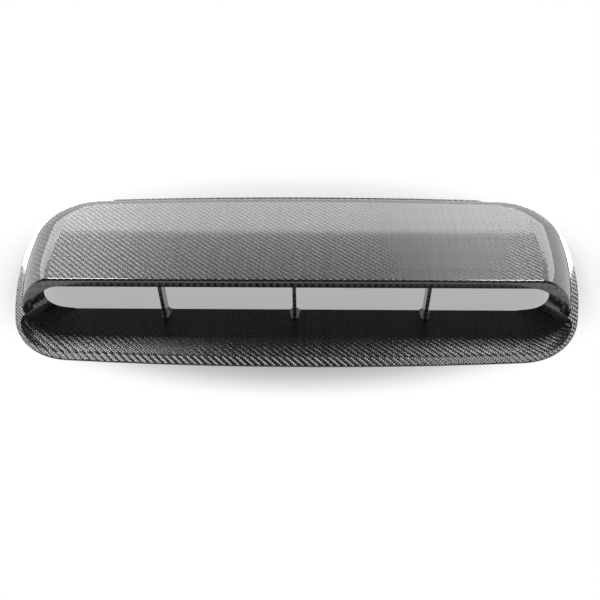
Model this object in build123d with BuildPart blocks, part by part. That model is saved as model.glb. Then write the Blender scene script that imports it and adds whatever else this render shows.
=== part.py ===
from build123d import *
from math import atan, degrees, radians, tan
import os

os.makedirs("parts", exist_ok=True)

# Carbon bonnet scoop. mm, origin at the centre of the studs on the flange's underside, front -Y, up +Z.

wall = 2.0
overshoot = 30.0

# Flange plan: bowed sides, front and rear, with rounded corners
depth = 276.0
front_edge = -161.0
flange_half = 340.5
flange_widest = 160.0
flange_side_r = 334.0
front_bow = 10.7
rear_bow = 9.0
front_corner = 78.0
rear_corner = 75.0
edge_break = 0.7

# Raised shell: foot plan inside the flange, a roof that falls to the rear, a superellipse shoulder
side_margin = 6.7
rear_margin = 1.0
foot_widest = 172.0
foot_side_r = 366.0
foot_corner = 72.0
roof_angle = 13.1
rear_lift = 2 * wall
shoulder = 40.0
shoulder_power = 1.7
shoulder_levels = (0.0, 0.3, 0.55, 0.77, 0.92, 0.98, 1.0)
rear_inset_share = 0.35

# Mouth: a plane square to the tray floor, with a flat lip round its top and sides
tray_dip = 10.0
mouth_setback = 78.7
lip_top = 10.5
lip_side = 7.5
lip_depth = 3.5
lip_round = 3.2

# Tray: a dish that falls to the rear from a crease behind the flat front strip
strip_depth = 9.0
crease_bow = 7.0
crease_rise = 0.6
dish_margin = 18.5
dish_widest = 68.0
dish_corner = 62.0
dish_turn = 14.0
dish_closing = 0.86
dish_levels = ((-3.0, -0.9), (0.0, 0.0), (7.0, 0.5), (18.0, 0.82), (35.0, 1.0))
dish_front_share = 0.12
tray_depth = 94.2
seam_behind = 11.3
seam_ahead = 16.7
seam_out = 11.1

# Vanes: leading edges in the mouth plane, the side pair leaning outwards, each on a flared foot
vane_pitch = 154.0
vane_thick = 4.4
vane_lean = 2.5
vane_chord_top = 17.0
vane_edge_round = 1.8
vane_foot_rear = 15.0
vane_foot_front = 9.5
vane_foot_height = 4.0

# Studs, each with a thinner root bonded into a square boss under the roof
stud_r = 3.0
stud_drop = 20.0
stud_rise = 1.0
root_r = 2.4
root_bury = 6.0
boss_width = 18.0
boss_lift = 4.0
stud_inset = 16.0
stud_half_y = 39.0

rear_edge = front_edge + depth
flange_half_y = front_edge + flange_widest
foot_half = flange_half - side_margin
foot_half_y = front_edge + foot_widest
foot_rear = rear_edge - rear_margin
mouth_y = front_edge + mouth_setback
crease_y = front_edge + strip_depth
dish_half = flange_half - dish_margin
dish_half_y = front_edge + dish_widest
tray_rear_y = front_edge + tray_depth
stud_half_x = foot_half - stud_inset
roof_slope = tan(radians(roof_angle))
dip_slope = tan(radians(tray_dip))


def bowed(half, off_y, radius):
    return half - off_y**2 / (2 * radius)


def floor_z(y):
    return wall + crease_rise - dip_slope * (y - crease_y)


def flange_plan():
    front_y = front_edge + front_bow
    rear_y = rear_edge - rear_bow
    front_x = bowed(flange_half, front_y - flange_half_y, flange_side_r)
    rear_x = bowed(flange_half, rear_y - flange_half_y, flange_side_r)
    with BuildSketch() as plan:
        with BuildLine():
            ThreePointArc((front_x, front_y), (flange_half, flange_half_y), (rear_x, rear_y))
            mirror(about=Plane.YZ)
            ThreePointArc((-front_x, front_y), (0, front_edge), (front_x, front_y))
            ThreePointArc((-rear_x, rear_y), (0, rear_edge), (rear_x, rear_y))
        make_face()
        fillet(plan.vertices().group_by(Axis.Y)[0], front_corner)
        fillet(plan.vertices().group_by(Axis.Y)[-1], rear_corner)
    return plan.sketch


def raised_level(share, inset, drop):
    # One contour of the shell, on a plane hinged at the rear edge and tilted by a share of the roof slope.
    normal = Vector(0, 0, 1).rotate(Axis.X, -degrees(atan(share * roof_slope)))
    hinge = Plane((0, foot_rear, share * rear_lift - drop), x_dir=(1, 0, 0), z_dir=normal)
    back = -rear_inset_share * inset
    rear_y = back - rear_bow
    front_y = front_edge - foot_rear + overshoot
    half_y = foot_half_y - foot_rear
    rear_x = bowed(foot_half, rear_y - half_y, foot_side_r) - inset
    front_x = bowed(foot_half, front_y - half_y, foot_side_r) - inset
    with BuildSketch(hinge) as level:
        with BuildLine():
            ThreePointArc((front_x, front_y), (foot_half - inset, half_y), (rear_x, rear_y))
            mirror(about=Plane.YZ)
            ThreePointArc((-rear_x, rear_y), (0, back), (rear_x, rear_y))
            Line((-front_x, front_y), (front_x, front_y))
        make_face()
        fillet(level.vertices().group_by(Axis.Y)[-1], foot_corner - 0.6 * inset)
    return level.sketch


def raised_body(inset, drop):
    levels = []
    for share in shoulder_levels:
        round_in = shoulder * (1 - (1 - share**shoulder_power) ** (1 / shoulder_power))
        levels.append(raised_level(share, inset + round_in, drop))
    with BuildPart() as body:
        loft(levels)
    return body.part


def dish_level(inset, share, drop):
    # One contour of the dish, on a plane hinged at the crease and tilted by a share of the floor's dip.
    normal = Vector(0, 0, 1).rotate(Axis.X, -degrees(atan(share * dip_slope)))
    hinge = Plane((0, crease_y, wall + crease_rise - drop), x_dir=(1, 0, 0), z_dir=normal)
    side = dish_half - inset
    turn = dish_half_y - crease_y
    front = dish_front_share * inset
    corner_x = side - dish_corner
    corner_y = front + crease_bow
    bulge = 0.5**0.5
    middle = (corner_x + bulge * dish_corner, turn - bulge * (turn - corner_y))
    back = tray_rear_y - crease_y + overshoot
    rear_x = side - dish_closing * (back - turn)
    with BuildSketch(hinge) as level:
        with BuildLine():
            ThreePointArc((corner_x, corner_y), middle, (side, turn))
            Polyline((side, turn), (rear_x, back), (0, back))
            mirror(about=Plane.YZ)
            ThreePointArc((-corner_x, corner_y), (0, front), (corner_x, corner_y))
        make_face()
        fillet(level.vertices().filter_by(lambda v: abs(abs(v.X) - side) < 0.01), dish_turn)
    return level.sketch


def dish_body(outset, drop):
    with BuildPart() as body:
        loft([dish_level(inset - outset, share, drop) for inset, share in dish_levels])
    return body.part


outer_body = raised_body(0, 0)
cavity = raised_body(wall, wall)
opening = raised_body(lip_side, lip_top)
dish = dish_body(0, 0)
dish_skin = dish_body(wall, wall)

mouth = Plane((0, mouth_y, wall), x_dir=(1, 0, 0), z_dir=Vector(0, -1, 0).rotate(Axis.X, -tray_dip))
lip_back = mouth.offset(-lip_depth)
tray_back = Plane((0, tray_rear_y, floor_z(tray_rear_y)), x_dir=(1, 0, 0), z_dir=mouth.z_dir)
stud_spots = [(x, y) for x in (-stud_half_x, stud_half_x) for y in (-stud_half_y, stud_half_y)]

with BuildPart() as flange:
    add(flange_plan())
    extrude(amount=wall)
    chamfer(flange.edges().group_by(Axis.Z)[-1], edge_break)

# What the flange gives to the tray: all in front of the seams beside the mouth
mouth_foot = bowed(foot_half, mouth_y - foot_half_y, foot_side_r)
with BuildPart() as seam_block:
    with BuildSketch():
        with BuildLine():
            Polyline(
                (0, mouth_y + seam_behind),
                (mouth_foot, mouth_y + seam_behind),
                (mouth_foot + seam_out, mouth_y - seam_ahead),
                (flange_half + overshoot, front_edge - overshoot),
                (0, front_edge - overshoot),
            )
            mirror(about=Plane.YZ)
        make_face()
    extrude(amount=wall)

with BuildPart() as raised:
    add(outer_body)
    split(bisect_by=mouth, keep=Keep.BOTTOM)
    rim = raised.faces().filter_by(mouth).sort_by(Axis.Y)[0].edges()
    fillet(rim - rim.group_by(Axis.Z)[0], lip_round)

with BuildPart() as lip:
    add(raised.part)
    split(bisect_by=lip_back, keep=Keep.TOP)
    add(opening, mode=Mode.SUBTRACT)

with BuildPart() as bosses:
    with BuildSketch(Plane.XY.offset(boss_lift)):
        with Locations(stud_spots):
            Rectangle(boss_width, boss_width)
    extrude(amount=rear_lift + depth * roof_slope)
    add(cavity, mode=Mode.INTERSECT)

with BuildPart() as outer_shell:
    add(raised.part)
    add(flange.part)
    add(cavity, mode=Mode.SUBTRACT)
    add(lip.part)
    add(seam_block.part, mode=Mode.SUBTRACT)
    add(bosses.part)
    with Locations([(x, y, boss_lift) for x, y in stud_spots]):
        Cylinder(root_r, root_bury, align=(Align.CENTER, Align.CENTER, Align.MIN), mode=Mode.SUBTRACT)

# The dish's ends rise past the flange only behind the lip
with BuildPart() as above_strip:
    with Locations((0, mouth_y, wall)):
        Box(3 * flange_half, depth, depth / 4, align=(Align.CENTER, Align.CENTER, Align.MIN))
    split(bisect_by=lip_back, keep=Keep.TOP)

with BuildPart() as intake_tray:
    add(flange.part)
    add(seam_block.part, mode=Mode.INTERSECT)
    add(dish_skin)
    add(dish, mode=Mode.SUBTRACT)
    split(bisect_by=tray_back, keep=Keep.TOP)
    add(above_strip.part, mode=Mode.SUBTRACT)

lead_y = mouth_y - dip_slope * (wall - floor_z(mouth_y)) / (1 + dip_slope**2)
lead_z = floor_z(lead_y)
floor_chord = tray_rear_y - lead_y


def vane_blank(x, lean):
    # Reaches half a wall into the roof and the floor, which then trim it to seat on them.
    side = Plane((x, lead_y, lead_z), x_dir=(0, 1, 0), z_dir=Vector(1, 0, 0).rotate(Axis.Y, lean))
    floor = Plane((x, lead_y, lead_z), x_dir=(1, 0, 0), z_dir=(0, dip_slope, 1))
    roof = rear_lift + roof_slope * (foot_rear - lead_y) - wall / 2 - lead_z
    lip_middle = roof - lip_top / 2
    notch = dip_slope * roof + lip_depth
    tail = dip_slope * roof + vane_chord_top
    with BuildPart() as blank:
        with BuildSketch(side):
            with BuildLine():
                Polyline(
                    (0, -wall / 2),
                    (floor_chord, -dip_slope * floor_chord - wall / 2),
                    (tail, roof - roof_slope * tail),
                    (notch, roof - roof_slope * notch),
                    (dip_slope * lip_middle, lip_middle),
                    close=True,
                )
            make_face()
        extrude(amount=vane_thick / 2, both=True)
        lead_face = blank.faces().sort_by(Axis.Y)[0]
        fillet(lead_face.edges().filter_by(lambda e: e.length > 2 * vane_thick), vane_edge_round)
        with BuildSketch(floor.offset(-wall / 2)) as foot:
            with BuildLine():
                Polyline(
                    (-vane_foot_front / 2, 0),
                    (vane_foot_front / 2, 0),
                    (vane_foot_rear / 2, floor_chord),
                    (-vane_foot_rear / 2, floor_chord),
                    close=True,
                )
            make_face()
            chamfer(foot.vertices().group_by(Axis.Y)[0], vane_foot_front / 3)
        with BuildSketch(floor.offset(vane_foot_height)) as waist:
            with Locations((vane_foot_height * tan(radians(lean)), floor_chord / 2 + 1)):
                Rectangle(vane_thick - 0.4, floor_chord - 2)
            chamfer(waist.vertices().group_by(Axis.Y)[0], vane_thick / 3)
        loft([foot.sketch, waist.sketch], ruled=True)
    return blank.part


with BuildPart() as vane_centre:
    add(vane_blank(0, 0))
    add(outer_shell.part, mode=Mode.SUBTRACT)
    add(intake_tray.part, mode=Mode.SUBTRACT)

with BuildPart() as vane_left:
    add(vane_blank(-vane_pitch, -vane_lean))
    add(outer_shell.part, mode=Mode.SUBTRACT)
    add(intake_tray.part, mode=Mode.SUBTRACT)

with BuildPart() as vane_right:
    mirror(vane_left.part, about=Plane.YZ)


def stud_at(x, y):
    with BuildPart() as stud:
        with Locations((x, y, -stud_drop)):
            Cylinder(stud_r, stud_drop + stud_rise, align=(Align.CENTER, Align.CENTER, Align.MIN))
        with Locations((x, y, stud_rise)):
            Cylinder(root_r, boss_lift - stud_rise + root_bury, align=(Align.CENTER, Align.CENTER, Align.MIN))
    return stud.part


with BuildPart() as stud_front_left:
    add(stud_at(-stud_half_x, -stud_half_y))

with BuildPart() as stud_front_right:
    add(stud_at(stud_half_x, -stud_half_y))

with BuildPart() as stud_rear_left:
    add(stud_at(-stud_half_x, stud_half_y))

with BuildPart() as stud_rear_right:
    add(stud_at(stud_half_x, stud_half_y))

pieces = {
    "outer_shell": outer_shell,
    "intake_tray": intake_tray,
    "vane_left": vane_left,
    "vane_centre": vane_centre,
    "vane_right": vane_right,
    "stud_front_left": stud_front_left,
    "stud_front_right": stud_front_right,
    "stud_rear_left": stud_rear_left,
    "stud_rear_right": stud_rear_right,
}
for name, piece in pieces.items():
    piece.part.label = name
    export_step(piece.part, f"parts/{name}.step")
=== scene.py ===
import bpy
import math
from mathutils import Euler, Matrix, Vector


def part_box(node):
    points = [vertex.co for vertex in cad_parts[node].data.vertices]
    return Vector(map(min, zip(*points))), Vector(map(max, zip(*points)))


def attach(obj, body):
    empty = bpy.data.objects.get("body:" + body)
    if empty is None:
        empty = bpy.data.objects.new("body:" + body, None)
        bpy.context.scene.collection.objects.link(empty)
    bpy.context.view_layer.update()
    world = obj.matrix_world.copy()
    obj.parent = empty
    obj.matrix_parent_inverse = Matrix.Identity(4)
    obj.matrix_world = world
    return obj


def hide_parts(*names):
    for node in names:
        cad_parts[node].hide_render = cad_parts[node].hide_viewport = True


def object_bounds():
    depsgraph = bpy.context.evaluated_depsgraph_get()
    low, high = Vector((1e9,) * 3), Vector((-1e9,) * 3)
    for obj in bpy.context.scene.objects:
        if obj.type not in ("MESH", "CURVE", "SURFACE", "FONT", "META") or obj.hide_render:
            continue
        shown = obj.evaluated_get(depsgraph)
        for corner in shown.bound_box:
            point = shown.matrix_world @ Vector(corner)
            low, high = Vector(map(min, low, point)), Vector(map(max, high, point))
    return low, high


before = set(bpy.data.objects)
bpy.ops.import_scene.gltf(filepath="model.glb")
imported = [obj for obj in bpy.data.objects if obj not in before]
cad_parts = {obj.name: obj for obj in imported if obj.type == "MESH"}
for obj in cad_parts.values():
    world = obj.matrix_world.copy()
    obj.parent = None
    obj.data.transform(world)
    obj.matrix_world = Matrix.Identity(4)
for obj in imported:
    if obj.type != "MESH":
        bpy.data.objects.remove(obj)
cadLow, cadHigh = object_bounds()
mm = 0.001
print("frame loaded:", len(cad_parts), "nodes")

weave = {
    "towWidth": 2.0 * mm,
    "floats": 2,  # tows that a tow passes over before it goes under as many
    "archShare": 0.55,  # share of a tow's height that rises and falls along a float
    "bellyPower": 0.5,
    "towColor": (0.14, 0.14, 0.145, 1),
    "darkTowColor": (0.085, 0.085, 0.09, 1),
    "resinColor": (0.006, 0.006, 0.007, 1),  # resin in the grooves between tows
    "towRoughness": 0.34,
    "roughnessSpread": 0.05,
    "grooveFloor": 0.1,  # share of a tow's height below which only resin shows
    "grooveTop": 0.6,  # share above which only the tow's colour shows
    "stretch": 0.9,  # a tow's shine spreads across its fibres
    "bumpDepth": 0.35 * mm,
    "bumpStrength": 0.55,
}

coat = {"roughness": 0.05, "ior": 1.55}

stud = {
    "threadRadius": 3.0 * mm,
    "coreRadius": 2.5 * mm,
    "rootRadius": 2.4 * mm,
    "pitch": 1.0 * mm,
    "tipLength": 0.8 * mm,  # plain end below the first turn
    "threadTop": 1.0 * mm,
    "steps": 24,
    "color": (0.52, 0.52, 0.53, 1),
    "roughness": 0.3,
}

camera = {
    "place": (0.0296, -0.7116, 0.7641),
    "downTilt": 49.635,
    "turn": 2.082,
    "roll": -1.292,
    "lens": 50.49,
    "sensor": 36.0,
}

studio = {
    "floorReach": 6.0,
    "floorGlow": 1.0,
    "paintedShadeGlow": 0.4,  # painted shade: glow share of the floor in an oval under the scoop, partly painted darker and partly real cast shadow on the matt share
    "paintedShadeReach": (0.36, 0.17),
    "paintedShadeFade": (0.7, 1.3),
    "floorColor": (0.86, 0.86, 0.86, 1),
    "horizon": (1.0, 1.0, 1.0, 1),
    "ceiling": (0.09, 0.09, 0.095, 1),
    "horizonTop": 0.30,  # sine of the height where the white surround starts to fade
    "ceilingFrom": 0.42,
    "worldStrength": 0.9,
}


def newGroup(name, inputs, outputs):
    group = bpy.data.node_groups.new(name, "ShaderNodeTree")
    for label, kind, default in inputs:
        socket = group.interface.new_socket(label, in_out="INPUT", socket_type=kind)
        socket.default_value = default
    for label, kind in outputs:
        group.interface.new_socket(label, in_out="OUTPUT", socket_type=kind)
    return group, group.nodes.new("NodeGroupInput"), group.nodes.new("NodeGroupOutput")


def mathNode(tree, operation, first, second=None, third=None):
    node = tree.nodes.new("ShaderNodeMath")
    node.operation = operation
    for slot, value in enumerate((first, second, third)):
        if value is None:
            continue
        if isinstance(value, (int, float)):
            node.inputs[slot].default_value = value
        else:
            tree.links.new(value, node.inputs[slot])
    return node.outputs[0]


# Twill over two, under two: the diagonal steps one tow sideways for each tow forwards
def addTwillSteps(tree, across, along, towWidth):
    a = mathNode(tree, "DIVIDE", across, towWidth)
    b = mathNode(tree, "DIVIDE", along, towWidth)
    column = mathNode(tree, "FLOOR", a)
    row = mathNode(tree, "FLOOR", b)
    step = mathNode(tree, "FLOORED_MODULO", mathNode(tree, "ADD", column, row), 2 * weave["floats"])
    warp = mathNode(tree, "LESS_THAN", step, weave["floats"] - 0.5)
    return a, b, column, row, step, warp


def makeTwillGroup():
    group, start, end = newGroup(
        "twillWeave",
        [(label, "NodeSocketFloat", weave["towWidth"]) for label in ("Across", "Along", "Tow Width")],
        [(label, "NodeSocketFloat") for label in ("Height", "Tow Tint")],
    )
    link = group.links.new
    sockets = (start.outputs[label] for label in ("Across", "Along", "Tow Width"))
    a, b, column, row, step, warp = addTwillSteps(group, *sockets)
    inColumn = mathNode(group, "SUBTRACT", a, column)
    inRow = mathNode(group, "SUBTRACT", b, row)
    # how far along its float a tow has come, counted in tows
    warpRun = mathNode(group, "ADD", step, inRow)
    weftRun = mathNode(group, "ADD", mathNode(group, "SUBTRACT", step, weave["floats"]), inColumn)

    def crown(run, acrossTow):
        arch = mathNode(group, "SINE", mathNode(group, "MULTIPLY", run, math.pi / weave["floats"]))
        belly = mathNode(group, "SINE", mathNode(group, "MULTIPLY", acrossTow, math.pi))
        bulge = mathNode(group, "POWER", mathNode(group, "MAXIMUM", belly, 0.0), weave["bellyPower"])
        share = weave["archShare"]
        return mathNode(group, "MULTIPLY", bulge, mathNode(group, "MULTIPLY_ADD", arch, share, 1 - share))

    warpHeight = crown(warpRun, inColumn)
    weftHeight = crown(weftRun, inRow)
    pick = group.nodes.new("ShaderNodeMix")
    pick.data_type = "FLOAT"
    link(warp, pick.inputs["Factor"])
    link(weftHeight, pick.inputs["A"])
    link(warpHeight, pick.inputs["B"])
    # one tone for each tow, so that neighbours differ a little
    tone = group.nodes.new("ShaderNodeTexWhiteNoise")
    tone.noise_dimensions = "2D"
    place = group.nodes.new("ShaderNodeCombineXYZ")
    link(mathNode(group, "MULTIPLY", column, warp), place.inputs["X"])
    link(mathNode(group, "MULTIPLY", row, mathNode(group, "SUBTRACT", 1.0, warp)), place.inputs["Y"])
    link(place.outputs["Vector"], tone.inputs["Vector"])
    link(pick.outputs["Result"], end.inputs["Height"])
    link(tone.outputs["Value"], end.inputs["Tow Tint"])
    return group


axes = {"X": (1, 0, 0), "Y": (0, 1, 0), "Z": (0, 0, 1)}


# Both tows share colour and bump, and differ in the way their shine spreads
def addTowShader(tree, color, rough, normal, spreadAxis):
    shader = tree.nodes.new("ShaderNodeBsdfPrincipled")
    tree.links.new(color, shader.inputs["Base Color"])
    tree.links.new(rough, shader.inputs["Roughness"])
    tree.links.new(normal, shader.inputs["Normal"])
    spread = tree.nodes.new("ShaderNodeCombineXYZ")
    for slot, value in enumerate(axes[spreadAxis]):
        spread.inputs[slot].default_value = value
    tree.links.new(spread.outputs["Vector"], shader.inputs["Tangent"])
    shader.inputs["Metallic"].default_value = 1.0
    shader.inputs["Anisotropic"].default_value = weave["stretch"]
    shader.inputs["Coat Weight"].default_value = 1.0
    shader.inputs["Coat Roughness"].default_value = coat["roughness"]
    shader.inputs["Coat IOR"].default_value = coat["ior"]
    return shader


# acrossAxis and alongAxis pick the plane that the cloth lies in
def makeCarbon(name, twill, acrossAxis, alongAxis):
    material = bpy.data.materials.new(name)
    material.use_nodes = True
    tree = material.node_tree
    link = tree.links.new
    tree.nodes.remove(tree.nodes["Principled BSDF"])
    coords = tree.nodes.new("ShaderNodeTexCoord")
    split = tree.nodes.new("ShaderNodeSeparateXYZ")
    link(coords.outputs["Object"], split.inputs["Vector"])
    cloth = tree.nodes.new("ShaderNodeGroup")
    cloth.node_tree = twill
    cloth.inputs["Tow Width"].default_value = weave["towWidth"]
    across, along = split.outputs[acrossAxis], split.outputs[alongAxis]
    link(across, cloth.inputs["Across"])
    link(along, cloth.inputs["Along"])

    tows = tree.nodes.new("ShaderNodeMix")
    tows.data_type = "RGBA"
    tows.inputs["A"].default_value = weave["darkTowColor"]
    tows.inputs["B"].default_value = weave["towColor"]
    link(cloth.outputs["Tow Tint"], tows.inputs["Factor"])
    grooves = tree.nodes.new("ShaderNodeMix")
    grooves.data_type = "RGBA"
    grooves.inputs["A"].default_value = weave["resinColor"]
    depth = tree.nodes.new("ShaderNodeMapRange")
    depth.inputs["From Min"].default_value = weave["grooveFloor"]
    depth.inputs["From Max"].default_value = weave["grooveTop"]
    link(cloth.outputs["Height"], depth.inputs["Value"])
    link(depth.outputs["Result"], grooves.inputs["Factor"])
    link(tows.outputs["Result"], grooves.inputs["B"])

    rough = tree.nodes.new("ShaderNodeMapRange")
    rough.inputs["To Min"].default_value = weave["towRoughness"] - weave["roughnessSpread"]
    rough.inputs["To Max"].default_value = weave["towRoughness"] + weave["roughnessSpread"]
    link(cloth.outputs["Tow Tint"], rough.inputs["Value"])
    bump = tree.nodes.new("ShaderNodeBump")
    bump.inputs["Strength"].default_value = weave["bumpStrength"]
    bump.inputs["Distance"].default_value = weave["bumpDepth"]
    link(cloth.outputs["Height"], bump.inputs["Height"])

    look = (grooves.outputs["Result"], rough.outputs["Result"], bump.outputs["Normal"])
    weft = addTowShader(tree, *look, alongAxis)
    warp = addTowShader(tree, *look, acrossAxis)
    mix = tree.nodes.new("ShaderNodeMixShader")
    warpOnTop = addTwillSteps(tree, across, along, weave["towWidth"])[-1]
    link(warpOnTop, mix.inputs["Fac"])
    link(weft.outputs["BSDF"], mix.inputs[1])
    link(warp.outputs["BSDF"], mix.inputs[2])
    link(mix.outputs["Shader"], tree.nodes["Material Output"].inputs["Surface"])
    return material


def dressNode(name, material):
    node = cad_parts[name]
    node.data.materials.clear()
    node.data.materials.append(material)


twill = makeTwillGroup()
skinCarbon = makeCarbon("carbonSkin", twill, "X", "Y")
vaneCarbon = makeCarbon("carbonVane", twill, "Y", "Z")
dressNode("outer_shell", skinCarbon)
dressNode("intake_tray", skinCarbon)
for side in ("left", "centre", "right"):
    dressNode("vane_" + side, vaneCarbon)
print("carbon finished")


def makeSteel():
    material = bpy.data.materials.new("studSteel")
    material.use_nodes = True
    shader = material.node_tree.nodes["Principled BSDF"]
    shader.inputs["Base Color"].default_value = stud["color"]
    shader.inputs["Metallic"].default_value = 1.0
    shader.inputs["Roughness"].default_value = stud["roughness"]
    return material


def addRod(radius, spot, low, high):
    bpy.ops.object.select_all(action="DESELECT")
    middle = (spot.x, spot.y, (low + high) / 2)
    bpy.ops.mesh.primitive_cylinder_add(
        vertices=2 * stud["steps"], radius=radius, depth=high - low, location=middle
    )
    return bpy.context.object


# A diamond turned up the axis by a screw modifier, with its outer point on the thread's outside
def addThread(spot, low, high):
    half = stud["pitch"] / 2
    start = low + stud["tipLength"] + half
    bpy.ops.object.select_all(action="DESELECT")
    bpy.ops.mesh.primitive_circle_add(
        vertices=4,
        radius=half,
        location=(spot.x + stud["threadRadius"] - half, spot.y, start),
        rotation=(math.pi / 2, 0, 0),
    )
    thread = bpy.context.object
    bpy.context.scene.cursor.location = (spot.x, spot.y, start)
    bpy.ops.object.origin_set(type="ORIGIN_CURSOR")
    bpy.ops.object.transform_apply(location=False, rotation=True, scale=True)
    screw = thread.modifiers.new("turns", "SCREW")
    screw.axis = "Z"
    screw.screw_offset = stud["pitch"]
    screw.iterations = int((high - half - start) / stud["pitch"])
    screw.steps = screw.render_steps = stud["steps"]
    screw.use_smooth_shade = False
    bpy.ops.object.modifier_apply(modifier=screw.name)
    bpy.ops.object.mode_set(mode="EDIT")
    bpy.ops.mesh.select_all(action="SELECT")
    bpy.ops.mesh.fill_holes(sides=0)
    bpy.ops.mesh.normals_make_consistent(inside=False)
    bpy.ops.object.mode_set(mode="OBJECT")
    return thread


def makeStud(node, steel):
    low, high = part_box(node)
    spot = (low + high) / 2
    parts = [
        addRod(stud["coreRadius"], spot, low.z, stud["threadTop"]),
        addRod(stud["rootRadius"], spot, stud["threadTop"], high.z),
        addThread(spot, low.z, stud["threadTop"]),
    ]
    bpy.ops.object.select_all(action="DESELECT")
    for part in parts:
        part.select_set(True)
    bpy.context.view_layer.objects.active = parts[0]
    bpy.ops.object.join()
    bpy.ops.object.transform_apply(location=True, rotation=True, scale=True)
    piece = bpy.context.object
    piece.name = node + "_threaded"
    piece.data.materials.clear()
    piece.data.materials.append(steel)
    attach(piece, "root")
    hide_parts(node)


steel = makeSteel()
for corner in ("front_left", "front_right", "rear_left", "rear_right"):
    makeStud("stud_" + corner, steel)
print("studs threaded")


def makeFloor():
    bpy.ops.object.select_all(action="DESELECT")
    bpy.ops.mesh.primitive_plane_add(size=2 * studio["floorReach"], location=(0, 0, cadLow.z))
    floor = bpy.context.object
    floor.name = "floor"
    material = bpy.data.materials.new("floorWhite")
    material.use_nodes = True
    tree = material.node_tree
    tree.nodes.remove(tree.nodes["Principled BSDF"])
    matt = tree.nodes.new("ShaderNodeBsdfDiffuse")
    matt.inputs["Color"].default_value = studio["floorColor"]
    glow = tree.nodes.new("ShaderNodeEmission")
    path = tree.nodes.new("ShaderNodeLightPath")
    seen = mathNode(tree, "MAXIMUM", path.outputs["Is Camera Ray"], path.outputs["Is Glossy Ray"])
    seen = mathNode(tree, "MAXIMUM", seen, path.outputs["Is Transmission Ray"])
    coords = tree.nodes.new("ShaderNodeTexCoord")
    split = tree.nodes.new("ShaderNodeSeparateXYZ")
    tree.links.new(coords.outputs["Object"], split.inputs["Vector"])
    # painted shade: the floor's glow is lowered in an oval under the scoop, so the floor there is darkened
    # by this mask and, through the matt share, by the real cast shadow
    squares = [
        mathNode(tree, "POWER", mathNode(tree, "DIVIDE", split.outputs[axis], reach), 2.0)
        for axis, reach in zip("XY", studio["paintedShadeReach"])
    ]
    paintedShade = tree.nodes.new("ShaderNodeMapRange")
    paintedShade.interpolation_type = "SMOOTHSTEP"
    paintedShade.inputs["From Min"].default_value = studio["paintedShadeFade"][0]
    paintedShade.inputs["From Max"].default_value = studio["paintedShadeFade"][1]
    paintedShade.inputs["To Min"].default_value = studio["paintedShadeGlow"]
    paintedShade.inputs["To Max"].default_value = studio["floorGlow"]
    tree.links.new(mathNode(tree, "ADD", *squares), paintedShade.inputs["Value"])
    share = mathNode(tree, "MULTIPLY", seen, paintedShade.outputs["Result"])
    mix = tree.nodes.new("ShaderNodeMixShader")
    tree.links.new(share, mix.inputs["Fac"])
    tree.links.new(matt.outputs["BSDF"], mix.inputs[1])
    tree.links.new(glow.outputs["Emission"], mix.inputs[2])
    # clear from below, so that the underside can be looked at
    side = tree.nodes.new("ShaderNodeNewGeometry")
    clear = tree.nodes.new("ShaderNodeBsdfTransparent")
    faces = tree.nodes.new("ShaderNodeMixShader")
    tree.links.new(side.outputs["Backfacing"], faces.inputs["Fac"])
    tree.links.new(mix.outputs["Shader"], faces.inputs[1])
    tree.links.new(clear.outputs["BSDF"], faces.inputs[2])
    tree.links.new(faces.outputs["Shader"], tree.nodes["Material Output"].inputs["Surface"])
    floor.data.materials.append(material)


# White surround low down, a darker room above it
def makeWorld():
    world = bpy.data.worlds.new("studioWorld")
    bpy.context.scene.world = world
    world.use_nodes = True
    tree = world.node_tree
    coords = tree.nodes.new("ShaderNodeTexCoord")
    split = tree.nodes.new("ShaderNodeSeparateXYZ")
    tree.links.new(coords.outputs["Generated"], split.inputs["Vector"])
    fade = tree.nodes.new("ShaderNodeMapRange")
    fade.interpolation_type = "SMOOTHSTEP"
    fade.inputs["From Min"].default_value = studio["horizonTop"]
    fade.inputs["From Max"].default_value = studio["ceilingFrom"]
    tree.links.new(split.outputs["Z"], fade.inputs["Value"])
    blend = tree.nodes.new("ShaderNodeMix")
    blend.data_type = "RGBA"
    blend.inputs["A"].default_value = studio["horizon"]
    blend.inputs["B"].default_value = studio["ceiling"]
    tree.links.new(fade.outputs["Result"], blend.inputs["Factor"])
    background = tree.nodes["Background"]
    background.inputs["Strength"].default_value = studio["worldStrength"]
    tree.links.new(blend.outputs["Result"], background.inputs["Color"])


softboxes = {
    "rearPanel": {"place": (0, 1.8, 0.42), "aim": (0, 0, 0.03), "size": (4.0, 0.40), "power": 10.5},
    "leftSoftbox": {"place": (-0.70, 1.0, 1.08), "aim": (-0.28, -0.1, 0.0), "size": (0.3, 0.4), "power": 12},
    "rightSoftbox": {"place": (0.62, 1.0, 1.08), "aim": (0.28, -0.1, 0.0), "size": (0.3, 0.4), "power": 9.5},
}


def makeSoftbox(name, look):
    data = bpy.data.lights.new(name, "AREA")
    data.shape = "RECTANGLE"
    data.size, data.size_y = look["size"]
    data.energy = look["power"]
    lamp = bpy.data.objects.new(name, data)
    bpy.context.scene.collection.objects.link(lamp)
    lamp.location = look["place"]
    lamp.rotation_euler = (Vector(look["aim"]) - lamp.location).to_track_quat("-Z", "Y").to_euler()


def makeCamera():
    data = bpy.data.cameras.new("photoCamera")
    data.lens = camera["lens"]
    data.sensor_width = camera["sensor"]
    eye = bpy.data.objects.new("photoCamera", data)
    bpy.context.scene.collection.objects.link(eye)
    look = Euler((math.radians(90 - camera["downTilt"]), 0, math.radians(camera["turn"]))).to_matrix()
    look = look @ Matrix.Rotation(math.radians(camera["roll"]), 3, "Z")
    eye.matrix_world = Matrix.Translation(camera["place"]) @ look.to_4x4()
    bpy.context.scene.camera = eye


makeFloor()
makeWorld()
for name, look in softboxes.items():
    makeSoftbox(name, look)
makeCamera()
bpy.context.scene.view_settings.view_transform = "Standard"
print("studio and camera set")

bpy.context.view_layer.update()
